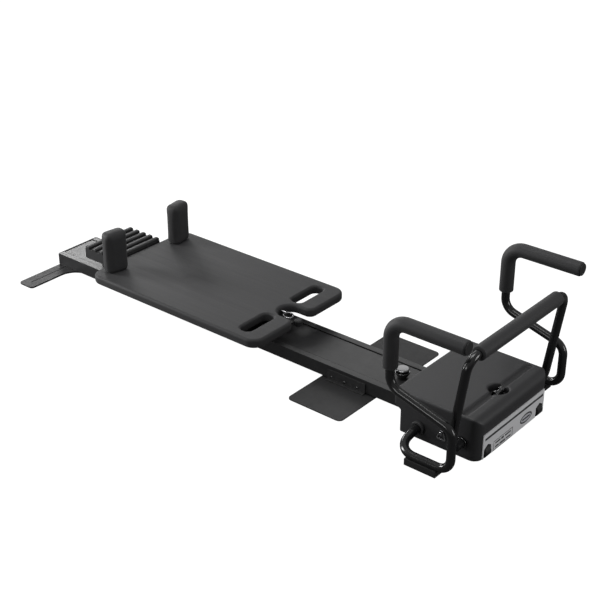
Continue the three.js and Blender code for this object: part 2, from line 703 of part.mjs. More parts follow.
// ---- folding side handles -----------------------------------------------------------------------------
eachSide((side, hand) => {
  const group = subgroup(`handle_${hand}`);
  const y = side * HANDLE.y;
  const tubeLine = new BentLine(
    [
      [HANDLE.tip, y, HANDLE.grip],
      [HANDLE.rear, y, HANDLE.grip],
      [HANDLE.rear, y, HANDLE.knee],
      [LOOP.front, y, LOOP.top],
      [LOOP.front, y, LOOP.bottom],
      [HANDLE.pivotX, y, LOOP.bottom],
      [HANDLE.pivotX, side * LOOP.rise, HANDLE.pivotZ],
      [HANDLE.pivotX, side * (BASE.half - 16), HANDLE.pivotZ],
    ],
    [55, 50, 45, 45, 62, 60],
  );
  const tube = bentTube(tubeLine, TUBE);
  add(group, `handle_tube_${hand}`, tube, BLACK_PAINT);
  const sleeveLine = new BentLine(
    [
      [HANDLE.tip - 0.5, y, HANDLE.grip],
      [HANDLE.rear, y, HANDLE.grip],
      [HANDLE.rear, y, HANDLE.sleeve],
    ],
    [55],
  );
  add(group, `handle_grip_${hand}`, bentTube(sleeveLine, GRIP, GRIP_BORE, 16), FOAM);
  const plug = prismX(discSection(y, HANDLE.grip, 20), HANDLE.tip + GAP, HANDLE.tip + 3.5);
  add(group, `handle_plug_${hand}`, plug, RUBBER);
  const { rear, front, half, top } = HANDLE_PAD;
  const pad = box(rear, front, y - half, y + half, 0, top).subtract(bentTube(tubeLine, TUBE + 0.6));
  add(group, `handle_pad_${hand}`, pad, RUBBER);
});

export default reformer;
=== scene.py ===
# %% [markdown]
# # A low home pilates reformer
# The machine is a floor rail with a sliding carriage, a ribbed foot platform at its rear and a heavy front
# base with a folding foot bar and two folding side handles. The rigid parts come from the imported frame,
# which is never moved. This lesson gives every visible part its finish, and replaces the bent tubes, foam
# grips, padded blocks and soft-edged mouldings with smoother bodies of the same size.

# %% Load the frame
import json
import math

import bmesh
import bpy
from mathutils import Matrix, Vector


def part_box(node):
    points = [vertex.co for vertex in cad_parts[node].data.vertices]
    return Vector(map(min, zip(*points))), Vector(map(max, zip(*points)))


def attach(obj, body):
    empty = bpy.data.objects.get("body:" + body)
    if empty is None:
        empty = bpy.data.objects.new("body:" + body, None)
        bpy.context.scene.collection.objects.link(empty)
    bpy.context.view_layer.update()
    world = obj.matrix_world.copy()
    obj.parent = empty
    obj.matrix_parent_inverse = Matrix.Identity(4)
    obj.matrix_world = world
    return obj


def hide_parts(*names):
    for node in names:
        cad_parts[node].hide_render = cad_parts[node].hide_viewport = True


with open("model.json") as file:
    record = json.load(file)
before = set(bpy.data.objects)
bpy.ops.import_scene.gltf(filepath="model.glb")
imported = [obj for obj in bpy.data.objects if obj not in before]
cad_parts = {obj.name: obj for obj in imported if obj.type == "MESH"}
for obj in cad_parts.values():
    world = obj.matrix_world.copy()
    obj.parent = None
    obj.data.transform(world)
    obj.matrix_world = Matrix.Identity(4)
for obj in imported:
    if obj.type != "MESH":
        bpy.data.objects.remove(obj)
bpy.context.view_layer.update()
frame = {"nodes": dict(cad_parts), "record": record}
MM = 0.001

# %% [markdown]
# ## Camera
# A long lens from the front right, a little above eye level of a person who stands back from the machine,
# keeps the long rail in proportion. The lens is given for a 36 mm sensor, so no shift is needed.

# %% Camera
LENS_MM = 78.47
SENSOR_MM = 36.0
CAMERA_AT = Vector((2.6404, -3.01995, 2.25))
CAMERA_LOOKS = Vector((-0.5656, 0.6812, -0.4648))

lens = bpy.data.cameras.new("lens")
lens.sensor_width = SENSOR_MM
lens.lens = LENS_MM
lens.clip_end = 60.0
camera = bpy.data.objects.new("camera", lens)
camera.location = CAMERA_AT
camera.rotation_euler = CAMERA_LOOKS.to_track_quat("-Z", "Y").to_euler()
bpy.context.collection.objects.link(camera)
bpy.context.scene.camera = camera
print("camera", tuple(round(v, 3) for v in camera.location))

# %% [markdown]
# ## Shader helpers
# A finish is a small tree of nodes. Writing its arithmetic as Python expressions keeps it readable, so one
# class wraps a socket and turns `a * 2 + b` into Math nodes. One method adds every other node: it takes the
# node's type, its settings and what feeds its sockets.

# %% A socket that does sums
class Flow:
    """One output socket of a finish. Sums on it add Math nodes to the finish."""

    def __init__(self, finish, socket):
        self.finish = finish
        self.socket = socket

    def math(self, operation, *others):
        values = dict(enumerate(others))
        return self.finish.node("ShaderNodeMath", {"operation": operation}, values)

    def __add__(self, other):
        return self.math("ADD", self, other)

    def __sub__(self, other):
        return self.math("SUBTRACT", self, other)

    def __rsub__(self, other):
        return self.math("SUBTRACT", other, self)

    def __mul__(self, other):
        return self.math("MULTIPLY", self, other)

    def clipped(self):
        return self.math("MINIMUM", self.math("MAXIMUM", self, 0.0), 1.0)

    __radd__ = __add__
    __rmul__ = __mul__


# %% A finish and its nodes
class Finish:
    """A material with one Principled shader, built up by expressions."""

    def __init__(self, name, **constants):
        self.material = bpy.data.materials.new(name)
        self.material.use_nodes = True
        self.tree = self.material.node_tree
        self.shader = self.tree.nodes["Principled BSDF"]
        self.set(**constants)

    def link(self, target, value):
        if isinstance(value, Flow):
            self.tree.links.new(value.socket, target)
        else:
            target.default_value = value

    def set(self, **sockets):
        """Feeds the shader: base_color=..., roughness=..., as constants or flows."""
        for name, value in sockets.items():
            self.link(self.shader.inputs[name.replace("_", " ").title().replace("Ior", "IOR")], value)

    def node(self, kind, settings=None, sockets=None, output=0):
        """Adds any node: its settings first, then its sockets by name or number."""
        made = self.tree.nodes.new(kind)
        for name, value in (settings or {}).items():
            setattr(made, name, value)
        for name, value in (sockets or {}).items():
            self.link(made.inputs[name], value)
        return Flow(self, made.outputs[output])

    def place(self, stretch=(1.0, 1.0, 1.0)):
        """Object coordinates in metres, squeezed along each axis."""
        where = self.node("ShaderNodeTexCoord", output="Object")
        return self.node("ShaderNodeMapping", None, {"Vector": where, "Scale": stretch})

    def axis(self, letter):
        """One coordinate of the place on the object, in metres."""
        where = self.node("ShaderNodeTexCoord", output="Object")
        return self.node("ShaderNodeSeparateXYZ", None, {0: where}, output=letter)

    def noise(self, scale, detail=3.0, roughness=0.5, stretch=(1.0, 1.0, 1.0)):
        sockets = {"Vector": self.place(stretch), "Scale": scale, "Detail": detail, "Roughness": roughness}
        return self.node("ShaderNodeTexNoise", None, sockets)

    def cells(self, scale, feature="F1", randomness=1.0):
        sockets = {"Vector": self.place(), "Scale": scale, "Randomness": randomness}
        return self.node("ShaderNodeTexVoronoi", {"feature": feature}, sockets)

    def blend(self, factor, low, high):
        """A colour between two colours."""
        return self.node(
            "ShaderNodeMix",
            {"data_type": "RGBA"},
            {0: factor, 6: (*low, 1.0), 7: (*high, 1.0)},
            output=2,
        )

    def bump(self, height, strength, distance):
        sockets = {"Height": height, "Strength": strength, "Distance": distance}
        self.set(normal=self.node("ShaderNodeBump", None, sockets))


def grey(value, blue=1.06):
    return (value, value, value * blue)


# %% [markdown]
# ## Black powder coat and gloss paint
# The rail and tubes are painted steel. Powder coat has a fine orange peel: a low, soft bump about a
# millimetre across, with a gloss that varies a little from place to place. The bent tubes are glossier than
# the rail, and the floor plates have a drier, sandier coat. The same few nodes make all of them at
# different strengths.

# %% Painted steel
def painted_steel(name, shade, gloss, peel_mm, peel_depth_mm, dust=0.0):
    paint = Finish(name, specular_ior_level=0.5)
    wander = paint.noise(9.0, 4.0, 0.6)
    peel = paint.noise(1.0 / (peel_mm * MM), 2.0)
    dusty = ((paint.noise(38.0, 6.0, 0.7) - 0.42) * 2.2).clipped()
    paint.set(
        base_color=paint.blend(wander * (1.0 - dust) + dusty * dust, grey(shade * 0.8), grey(shade * 1.35)),
        roughness=wander * 0.12 + dusty * (0.25 * dust) + (gloss - 0.06),
    )
    paint.bump(peel, 0.35, peel_depth_mm * MM)
    return paint.material


gloss_tube_paint = painted_steel("gloss_tube_paint", 0.008, 0.20, 2.4, 0.004)
rail_paint = painted_steel("rail_paint", 0.011, 0.42, 1.1, 0.02, dust=0.35)
plate_paint = painted_steel("plate_paint", 0.009, 0.58, 0.9, 0.03, dust=0.4)
print("painted steel finishes made")

# %% [markdown]
# ## Moulded plastic
# Covers like the front base are moulded in a tool whose surface is spark eroded, which leaves an even,
# pebbled grain well under a millimetre across. Cells and a finer noise make the pebbles, and the grain's
# tops catch light, so roughness follows the same height.

# %% Moulded plastic
def moulded_plastic(name, shade, gloss, grain_mm=0.7, depth_mm=0.08):
    plastic = Finish(name, specular_ior_level=0.45)
    pebbles = plastic.cells(1.0 / (grain_mm * MM))
    fine = plastic.noise(1.0 / (grain_mm * 0.6 * MM), 2.0)
    cloud = plastic.noise(6.0, 3.0, 0.55)
    height = pebbles * -0.6 + fine * 0.4 + 0.6
    plastic.set(
        base_color=plastic.blend(cloud * 0.7 + fine * 0.3, grey(shade * 0.85), grey(shade * 1.2)),
        roughness=height * 0.1 + cloud * 0.08 + (gloss - 0.08),
    )
    plastic.bump(height, 0.4, depth_mm * MM)
    return plastic.material


base_moulding = moulded_plastic("base_moulding", 0.023, 0.50)
platform_moulding = moulded_plastic("platform_moulding", 0.014, 0.52, 0.9, 0.12)
print("moulded finishes made")

# %% [markdown]
# ## Deck skin, foam and rubber
# The carriage is covered in a matte, slightly leathery skin: shallow cells with creases between them, and
# long faint streaks from wiping. The grips are black closed-cell foam, which is a mat of tiny pits with a
# soft sheen at grazing angles. Rubber is the plainest: almost no gloss, with talc-like mottling.

# %% Deck skin
def padded_skin(name, shade, gloss):
    skin = Finish(name, specular_ior_level=0.4, sheen_weight=0.06, sheen_roughness=0.5)
    creases = skin.cells(620.0, "DISTANCE_TO_EDGE")
    streaks = skin.noise(70.0, 5.0, 0.65, (0.03, 1.0, 1.0))
    mottle = skin.noise(260.0, 3.0)
    height = creases.math("MINIMUM", creases * 6.0, 1.0) * 0.7 + mottle * 0.3
    skin.set(
        base_color=skin.blend(streaks * 0.8 + mottle * 0.2, grey(shade * 0.5), grey(shade * 1.5)),
        roughness=streaks * 0.3 + height * 0.05 + (gloss - 0.1),
    )
    skin.bump(height, 0.3, 0.10 * MM)
    return skin.material


deck_skin = padded_skin("deck_skin", 0.017, 0.60)


# %% Foam and rubber
def soft_black(name, shade, gloss, pore_mm, depth_mm, sheen):
    soft = Finish(name, specular_ior_level=0.4, sheen_weight=sheen, sheen_roughness=0.45)
    pores = soft.cells(1.0 / (pore_mm * MM))
    patches = soft.noise(30.0, 4.0, 0.6)
    soft.set(
        base_color=soft.blend(patches * 0.6 + pores * 0.4, grey(shade * 0.8), grey(shade * 1.25)),
        roughness=patches * 0.12 + (gloss - 0.06),
    )
    soft.bump(pores * 0.7 + soft.noise(1.0 / (pore_mm * 0.5 * MM), 2.0) * 0.3, 0.45, depth_mm * MM)
    return soft.material


grip_foam = soft_black("grip_foam", 0.020, 0.62, 1.3, 0.15, 0.10)
black_rubber = soft_black("black_rubber", 0.010, 0.62, 2.2, 0.10, 0.0)
print("soft finishes made")

# %% [markdown]
# ## Bright metal
# Chrome is a mirror with faint wipe marks. Bare steel axles keep their turning lines, and the silver front
# panel is a satin sheet with a fine grain that runs along it. Stretching one noise along an axis gives each
# of these its direction.

# %% Bright metal
def bright_metal(name, shade, gloss, metal, stretch, lines=900.0, depth_mm=0.02, swing=0.12):
    bright = Finish(name, metallic=metal)
    grain = bright.noise(lines, 3.0, 0.6, stretch)
    cloud = bright.noise(14.0, 3.0)
    bright.set(
        base_color=bright.blend(grain * 0.5 + cloud * 0.5, grey(shade * 0.92, 1.02), grey(shade, 1.02)),
        roughness=grain * swing + cloud * (swing * 0.5) + gloss,
    )
    bright.bump(grain, 0.2, depth_mm * MM)
    return bright.material


chrome = bright_metal("chrome", 0.62, 0.10, 1.0, (1.0, 1.0, 1.0), 120.0, 0.004, 0.05)
dark_polish = bright_metal("dark_polish", 0.16, 0.12, 1.0, (1.0, 1.0, 1.0), 120.0, 0.004, 0.05)
turned_steel = bright_metal("turned_steel", 0.45, 0.25, 1.0, (1.0, 0.05, 1.0))
silver_sheet = bright_metal("silver_sheet", 0.85, 0.42, 0.3, (1.0, 0.04, 1.0))
print("bright finishes made")

# %% [markdown]
# ## Refining the rigid nodes
# A frame node is a loose net of flat triangles. A merged copy of it can have its flat faces joined, its
# sharp edges broken by a fraction of a millimetre and its curved faces shaded smooth, which is how a bent
# plate or a turned cap really catches light. The copy stands for the node, and rides on the node's own
# body.

# %% Copy, join and break the edges
def body_of_node(node):
    bodies = frame["record"]["behaviour"]["bodies"]
    return next(body for body, nodes in bodies.items() if node in nodes)


def merged_copy(name, nodes):
    """One mesh object with the welded surfaces of the given nodes."""
    shell = bmesh.new()
    for node in nodes:
        shell.from_mesh(frame["nodes"][node].data)
    bmesh.ops.remove_doubles(shell, verts=shell.verts, dist=0.01 * MM)
    mesh = bpy.data.meshes.new(name)
    shell.to_mesh(mesh)
    shell.free()
    piece = bpy.data.objects.new(name, mesh)
    bpy.context.collection.objects.link(piece)
    return piece


def baked(piece):
    """Turns a piece with modifiers into a plain mesh and returns it."""
    depsgraph = bpy.context.evaluated_depsgraph_get()
    mesh = bpy.data.meshes.new_from_object(piece.evaluated_get(depsgraph))
    if piece.type == "MESH":
        piece.modifiers.clear()
        piece.data = mesh
        return piece
    plain = bpy.data.objects.new(piece.name, mesh)
    bpy.context.collection.objects.link(plain)
    name = piece.name
    bpy.data.objects.remove(piece)
    plain.name = name
    return plain


def smooth_by_angle(piece, degrees=32.0):
    for polygon in piece.data.polygons:
        polygon.use_smooth = True
    piece.data.set_sharp_from_angle(angle=math.radians(degrees))


def flat_faces_kept_flat(piece):
    """Lets the large faces steer the shading, so that only the small edge faces look round."""
    steer = piece.modifiers.new("steer", "WEIGHTED_NORMAL")
    steer.mode = "FACE_AREA"
    steer.keep_sharp = True
    return baked(piece)


def fitted(piece, material, slot, body, *nodes):
    """Gives a finished piece its material and body, and hides the nodes it stands for. The slot is not
    used.
    """
    piece.data.materials.clear()
    piece.data.materials.append(material)
    if nodes:
        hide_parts(*nodes)
    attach(piece, body)
    return piece


def refined(node, material, slot, edge_mm=0.6, steps=2):
    """Stands a smooth, edge-broken copy in a rigid node's place."""
    piece = merged_copy(node + "_body", [node])
    flat = bmesh.new()
    flat.from_mesh(piece.data)
    bmesh.ops.dissolve_limit(flat, angle_limit=math.radians(1.0), verts=flat.verts, edges=flat.edges)
    flat.to_mesh(piece.data)
    flat.free()
    bevel = piece.modifiers.new("broken_edges", "BEVEL")
    bevel.width = edge_mm * MM
    bevel.segments = steps
    bevel.limit_method = "ANGLE"
    bevel.angle_limit = math.radians(38.0)
    bevel.use_clamp_overlap = True
    piece = baked(piece)
    smooth_by_angle(piece)
    flat_faces_kept_flat(piece)
    return fitted(piece, material, slot, body_of_node(node), node)


# %% Refine the rail, the plates and the small parts
both = ("right", "left")
STEEL = "satin_black_steel"
refined("rail", rail_paint, STEEL, 1.0)
refined("rail_cover", rail_paint, STEEL, 1.0)
refined("rail_end_cap", base_moulding, "black_moulding", 0.8)
refined("rear_foot", plate_paint, "plate_black_steel", 1.0)
refined("wing_plate", plate_paint, "plate_black_steel", 0.8)
refined("ribbed_platform", platform_moulding, "black_moulding", 1.6, 3)
refined("platform_riser", rail_paint, STEEL)
refined("base_floor_pan", rail_paint, STEEL)
refined("carriage_tray", rail_paint, STEEL)
refined("cord_post", black_rubber, "black_rubber", 1.2, 3)
refined("cord_post_ring", dark_polish, "chrome_steel", 1.0, 3)
refined("cord_post_cap", dark_polish, "chrome_steel", 0.8, 3)
refined("cord_roller", dark_polish, "chrome_steel", 0.8, 3)
refined("rear_bumper", black_rubber, "black_rubber")
refined("carriage_eye", chrome, "chrome_steel", 0.5)
refined("carriage_bumper", black_rubber, "black_rubber", 0.8, 3)
for side in both:
    refined("wing_bracket_" + side, plate_paint, "plate_black_steel", 0.5)
    refined("handle_collar_" + side, base_moulding, "black_moulding", 1.6, 3)
    refined("bar_collar_" + side, dark_polish, "chrome_steel", 1.0, 3)
    refined("ring_stud_" + side, chrome, "chrome_steel", 0.8, 3)
    refined("side_ring_" + side, chrome, "chrome_steel", 1.0, 3)
    refined("transport_wheel_" + side, black_rubber, "black_rubber", 2.0, 3)
    refined("handle_pad_" + side, black_rubber, "black_rubber", 1.5, 3)
    refined("handle_plug_" + side, black_rubber, "black_rubber", 1.0, 3)
    for place in ("rear", "front"):
        refined("carriage_wheel_%s_%s" % (place, side), black_rubber, "black_rubber", 1.2, 3)

# %% Finishes for the nodes that stay as they are
stay = {
    "front_panel": silver_sheet,
    "cord_roller_axle": turned_steel,
    "transport_axle": turned_steel,
    "wheel_axle_rear": turned_steel,
    "wheel_axle_front": turned_steel,
    "carriage_ring": chrome,
}
for side in both:
    stay["rear_foot_pad_" + side] = black_rubber
    stay["wing_pad_" + side] = black_rubber
    stay["base_foot_" + side] = black_rubber
for node, material in stay.items():
    mesh = frame["nodes"][node].data
    mesh.materials.clear()
    mesh.materials.append(material)
print(len(stay), "nodes keep their own mesh")

# %% [markdown]
# ## The front base as one moulding
# The base's cover is one thick moulding with no sharp edge anywhere. Rounding each crossing of its faces by
# hand would need many small patches. Rebuilding the joined surface from small cubes and relaxing it rounds
# every edge by a few millimetres in one go, as the mould does, and then flat areas are thinned out again.

# %% Soft-edged base
BASE_VOXEL = 2.4 * MM


def softened(name, nodes, voxel, passes, keep):
    piece = merged_copy(name, nodes)
    cubes = piece.modifiers.new("rebuild", "REMESH")
    cubes.mode = "VOXEL"
    cubes.voxel_size = voxel
    relax = piece.modifiers.new("relax", "SMOOTH")
    relax.factor = 0.6
    relax.iterations = passes
    thin = piece.modifiers.new("thin_out", "DECIMATE")
    thin.ratio = keep
    piece = baked(piece)
    smooth_by_angle(piece, 60.0)
    print(name, len(piece.data.polygons), "faces")
    return piece


base = softened("base_moulding_shell", ["base_top", "base_housing"], BASE_VOXEL, 8, 0.4)
fitted(base, base_moulding, "black_moulding", "frame", "base_top", "base_housing")

# %% [markdown]
# ## Bent tubes and foam grips
# A tube bender makes straight runs joined by round bends, so a tube is a path and a round section. Geometry
# Nodes can carry the section along the path: the path comes in as a curve, a circle is swept along it, and
# the radius at each point can shrink, which also rounds the ends of the foam sleeves.

# %% A path with round bends
BEND_STEPS = 14


def bent_path(corners, radii):
    """Points in millimetres along straight runs joined by round bends."""
    corners = [Vector(corner) for corner in corners]
    points = [corners[0]]
    for before, corner, after, radius in zip(corners, corners[1:], corners[2:], radii):
        along = (corner - before).normalized()
        onward = (after - corner).normalized()
        turn = along.angle(onward)
        inward = (onward - along * along.dot(onward)).normalized()
        start = corner - along * (radius * math.tan(turn / 2))
        centre = start + inward * radius
        for step in range(BEND_STEPS + 1):
            angle = turn * step / BEND_STEPS
            points.append(centre - inward * (radius * math.cos(angle)) + along * (radius * math.sin(angle)))
    points.append(corners[-1])
    return points


# %% Sweep tree
def sweep_tree():
    tree = bpy.data.node_groups.new("sweep_a_round_section", "GeometryNodeTree")
    face = tree.interface
    face.new_socket("Geometry", in_out="INPUT", socket_type="NodeSocketGeometry")
    kinds = {"Radius": "NodeSocketFloat", "Sides": "NodeSocketInt", "Finish": "NodeSocketMaterial"}
    for name, kind in kinds.items():
        face.new_socket(name, in_out="INPUT", socket_type=kind)
    face.new_socket("Geometry", in_out="OUTPUT", socket_type="NodeSocketGeometry")
    add = tree.nodes.new
    start, end = add("NodeGroupInput"), add("NodeGroupOutput")
    circle, sweep = add("GeometryNodeCurvePrimitiveCircle"), add("GeometryNodeCurveToMesh")
    real, finish = add("GeometryNodeRealizeInstances"), add("GeometryNodeSetMaterial")
    sweep.inputs["Fill Caps"].default_value = True
    links = [
        (start.outputs["Geometry"], sweep.inputs["Curve"]),
        (start.outputs["Radius"], circle.inputs["Radius"]),
        (start.outputs["Sides"], circle.inputs["Resolution"]),
        (circle.outputs["Curve"], sweep.inputs["Profile Curve"]),
        (sweep.outputs["Mesh"], real.inputs["Geometry"]),
        (real.outputs["Geometry"], finish.inputs["Geometry"]),
        (start.outputs["Finish"], finish.inputs["Material"]),
        (finish.outputs["Geometry"], end.inputs["Geometry"]),
    ]
    if "Scale" in sweep.inputs:
        width = add("GeometryNodeInputNamedAttribute")
        width.inputs["Name"].default_value = "radius"
        links.append((width.outputs["Attribute"], sweep.inputs["Scale"]))
    for out, into in links:
        tree.links.new(out, into)
    return tree


sweeping = sweep_tree()


def with_inputs(piece, tree, **values):
    """Adds a tree to a piece, and sets its named inputs by their identifiers."""
    modifier = piece.modifiers.new(tree.name, "NODES")
    modifier.node_group = tree
    for item in tree.interface.items_tree:
        if item.in_out == "INPUT" and item.name in values:
            modifier[item.identifier] = values[item.name]
    return piece


def swept(name, points, radius_mm, material, sides=40, widths=None):
    """A round body along points in millimetres, with an optional width factor at each point."""
    curve = bpy.data.curves.new(name, "CURVE")
    curve.dimensions = "3D"
    spline = curve.splines.new("POLY")
    spline.points.add(len(points) - 1)
    for number, (knot, point) in enumerate(zip(spline.points, points)):
        knot.co = (*(point * MM), 1.0)
        knot.radius = widths[number] if widths else 1.0
    path = bpy.data.objects.new(name, curve)
    bpy.context.collection.objects.link(path)
    with_inputs(path, sweeping, Radius=radius_mm * MM, Sides=sides, Finish=material)
    piece = baked(path)
    smooth_by_angle(piece, 40.0)
    return piece


def soft_ends(points, radius_mm, round_mm):
    """Adds points near both ends, where the width falls along a quarter circle."""
    steps = 5
    ends = []
    for near, inner in ((points[0], points[1]), (points[-1], points[-2])):
        along = (inner - near).normalized()
        rows = []
        for step in range(steps):
            angle = 0.5 * math.pi * step / steps
            depth = round_mm * (1.0 - math.cos(angle))
            width = 1.0 - round_mm * (1.0 - math.sin(angle)) / radius_mm
            rows.append((near + along * depth, width))
        ends.append(rows)
    first = points[0] + (points[1] - points[0]).normalized() * round_mm
    last = points[-1] + (points[-2] - points[-1]).normalized() * round_mm
    middle = [(first, 1.0)] + [(point, 1.0) for point in points[1:-1]] + [(last, 1.0)]
    rows = ends[0] + middle + ends[1][::-1]
    return [point for point, _ in rows], [width for _, width in rows]


# %% The side handles
TUBE_MM = 14.0
GRIP_MM = 23.5
HANDLE_Y = 318.0
GRIP_Z = 459.0
for side, sign in zip(both, (-1, 1)):
    y = sign * HANDLE_Y
    corners = [
        (998.5, y, GRIP_Z),
        (739, y, GRIP_Z),
        (739, y, 240),
        (965, y, 175),
        (965, y, 30),
        (772, y, 30),
        (772, sign * 234, 48),
        (772, sign * 185, 48),
    ]
    line = bent_path(corners, [55, 50, 45, 45, 62, 60])
    tube = swept("handle_tube_smooth_" + side, line, TUBE_MM, gloss_tube_paint)
    fitted(tube, gloss_tube_paint, "black_gloss_tube", "handle_" + side, "handle_tube_" + side)
    sleeve = bent_path([(998, y, GRIP_Z), (739, y, GRIP_Z), (739, y, 302)], [55])
    points, widths = soft_ends(sleeve, GRIP_MM, 4.0)
    grip = swept("handle_foam_" + side, points, GRIP_MM, grip_foam, 48, widths)
    fitted(grip, grip_foam, "grip_foam", "handle_" + side, "handle_grip_" + side)

# %% The foot bar
BAR = {"pivot_x": 928, "pivot_z": 60, "top_x": 975, "top_z": 391, "half": 272.6, "inside": 180}
near_leg = [
    (BAR["pivot_x"], -BAR["inside"], BAR["pivot_z"]),
    (BAR["pivot_x"], -BAR["half"], BAR["pivot_z"]),
    (BAR["top_x"], -BAR["half"], BAR["top_z"]),
]
far_leg = [(x, -y, z) for x, y, z in near_leg[::-1]]
bar_corners = near_leg + far_leg
bar = swept("foot_bar_smooth", bent_path(bar_corners, [40, 45, 45, 40]), TUBE_MM, gloss_tube_paint)
fitted(bar, gloss_tube_paint, "black_gloss_tube", "foot_bar", "foot_bar_tube")
points, widths = soft_ends([Vector((975, -221.6, 391)), Vector((975, 221.6, 391))], GRIP_MM, 4.0)
bar_grip = swept("foot_bar_foam", points, GRIP_MM, grip_foam, 48, widths)
fitted(bar_grip, grip_foam, "grip_foam", "foot_bar", "foot_bar_grip")
print("tubes and grips swept")

# %% [markdown]
# ## Printed marks on the front panel
# The silver sheet carries a dark line under its top edge, a framed label of plain bars and a small oval
# badge. They are film, a fifth of a millimetre thick, laid on the sheet. Each mark is a closed outline on
# the front face, given its thickness towards the front.

# %% Film marks
PANEL_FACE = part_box("front_panel")[1][0] / MM


def film(name, outlines, material, thick_mm=0.2, lift_mm=0.0):
    """Flat closed shapes in (y, z) millimetres on the front panel, as one thin mesh."""
    shell = bmesh.new()
    x0 = PANEL_FACE + lift_mm
    for outline in outlines:
        face = shell.faces.new([shell.verts.new((x0 * MM, y * MM, z * MM)) for y, z in outline])
        face.normal_update()
        if face.normal.x < 0:
            face.normal_flip()
        made = bmesh.ops.extrude_face_region(shell, geom=[face])
        front = [item for item in made["geom"] if isinstance(item, bmesh.types.BMVert)]
        bmesh.ops.translate(shell, verts=front, vec=(thick_mm * MM, 0.0, 0.0))
    bmesh.ops.recalc_face_normals(shell, faces=shell.faces)
    mesh = bpy.data.meshes.new(name)
    shell.to_mesh(mesh)
    shell.free()
    piece = bpy.data.objects.new(name, mesh)
    bpy.context.collection.objects.link(piece)
    return fitted(piece, material, "silver_panel", "frame")


def block(y0, z0, y1, z1):
    return [(y0, z0), (y1, z0), (y1, z1), (y0, z1)]


def oval(y, z, wide, tall, steps=40):
    turns = [2.0 * math.pi * step / steps for step in range(steps)]
    return [(y + wide / 2 * math.cos(turn), z + tall / 2 * math.sin(turn)) for turn in turns]


dark_film = moulded_plastic("dark_film", 0.03, 0.40, 0.5, 0.01)
pale_film = moulded_plastic("pale_film", 0.55, 0.35, 0.5, 0.01)
film("panel_line", [block(-166, 70, 168, 78)], dark_film)
label_bars = [block(-106, 31, -78, 36), block(-72, 30, -58, 37), block(-52, 31, -18, 36)]
label_bars += [block(-106, 17, -86, 22), block(-80, 16, -50, 22), block(-44, 17, -18, 22)]
label_frame = [
    block(-116, 9, -8, 11),
    block(-116, 41, -8, 43),
    block(-116, 11, -114, 41),
    block(-10, 11, -8, 41),
]
film("label_print", label_frame + label_bars, dark_film)
film("badge_rim", [oval(70, 37, 70, 32)], dark_film)
film("badge_face", [oval(70, 37, 58, 22)], pale_film, lift_mm=0.2)
film("badge_mark", [block(48, 34, 92, 40)], dark_film, lift_mm=0.4)

# %% [markdown]
# ## Fasteners
# Bolts hold the floor plate's brackets to the rail, and small screws hold the rail's end cap. One head is a
# short cone with a flat top; a points tree places a copy of it at every bolt, turned to its own face.

# %% Heads
def bolt_tree():
    """Sets a copy of a head on every point, turned to the point's normal."""
    tree = bpy.data.node_groups.new("set_a_head_on_each_point", "GeometryNodeTree")
    face = tree.interface
    face.new_socket("Geometry", in_out="INPUT", socket_type="NodeSocketGeometry")
    kinds = {"Radius": "NodeSocketFloat", "Height": "NodeSocketFloat", "Finish": "NodeSocketMaterial"}
    for name, kind in kinds.items():
        face.new_socket(name, in_out="INPUT", socket_type=kind)
    face.new_socket("Geometry", in_out="OUTPUT", socket_type="NodeSocketGeometry")
    add = tree.nodes.new
    start, end = add("NodeGroupInput"), add("NodeGroupOutput")
    points, copies = add("GeometryNodeMeshToPoints"), add("GeometryNodeInstanceOnPoints")
    head, turn = add("GeometryNodeMeshCone"), add("FunctionNodeAlignRotationToVector")
    facing, slimmer = add("GeometryNodeInputNamedAttribute"), add("ShaderNodeMath")
    real, finish = add("GeometryNodeRealizeInstances"), add("GeometryNodeSetMaterial")
    facing.data_type = "FLOAT_VECTOR"
    facing.inputs["Name"].default_value = "facing"
    slimmer.operation = "MULTIPLY"
    slimmer.inputs[1].default_value = 0.72
    turn.axis = "Z"
    head.inputs["Vertices"].default_value = 20
    links = [
        (start.outputs["Geometry"], points.inputs["Mesh"]),
        (points.outputs["Points"], copies.inputs["Points"]),
        (start.outputs["Radius"], head.inputs["Radius Bottom"]),
        (start.outputs["Radius"], slimmer.inputs[0]),
        (slimmer.outputs[0], head.inputs["Radius Top"]),
        (start.outputs["Height"], head.inputs["Depth"]),
        (head.outputs["Mesh"], copies.inputs["Instance"]),
        (facing.outputs["Attribute"], turn.inputs["Vector"]),
        (turn.outputs["Rotation"], copies.inputs["Rotation"]),
        (copies.outputs["Instances"], real.inputs["Geometry"]),
        (real.outputs["Geometry"], finish.inputs["Geometry"]),
        (start.outputs["Finish"], finish.inputs["Material"]),
        (finish.outputs["Geometry"], end.inputs["Geometry"]),
    ]
    for out, into in links:
        tree.links.new(out, into)
    return tree


bolting = bolt_tree()


def bolts(name, places, radius_mm, height_mm, material, slot, body):
    """Heads at (place, facing) pairs in millimetres, as one mesh."""
    mesh = bpy.data.meshes.new(name)
    mesh.from_pydata([Vector(place) * MM for place, _ in places], [], [])
    ways = mesh.attributes.new("facing", "FLOAT_VECTOR", "POINT")
    for number, (_, way) in enumerate(places):
        ways.data[number].vector = way
    piece = bpy.data.objects.new(name, mesh)
    bpy.context.collection.objects.link(piece)
    with_inputs(piece, bolting, Radius=radius_mm * MM, Height=height_mm * MM, Finish=material)
    piece = baked(piece)
    smooth_by_angle(piece, 40.0)
    return fitted(piece, material, slot, body)


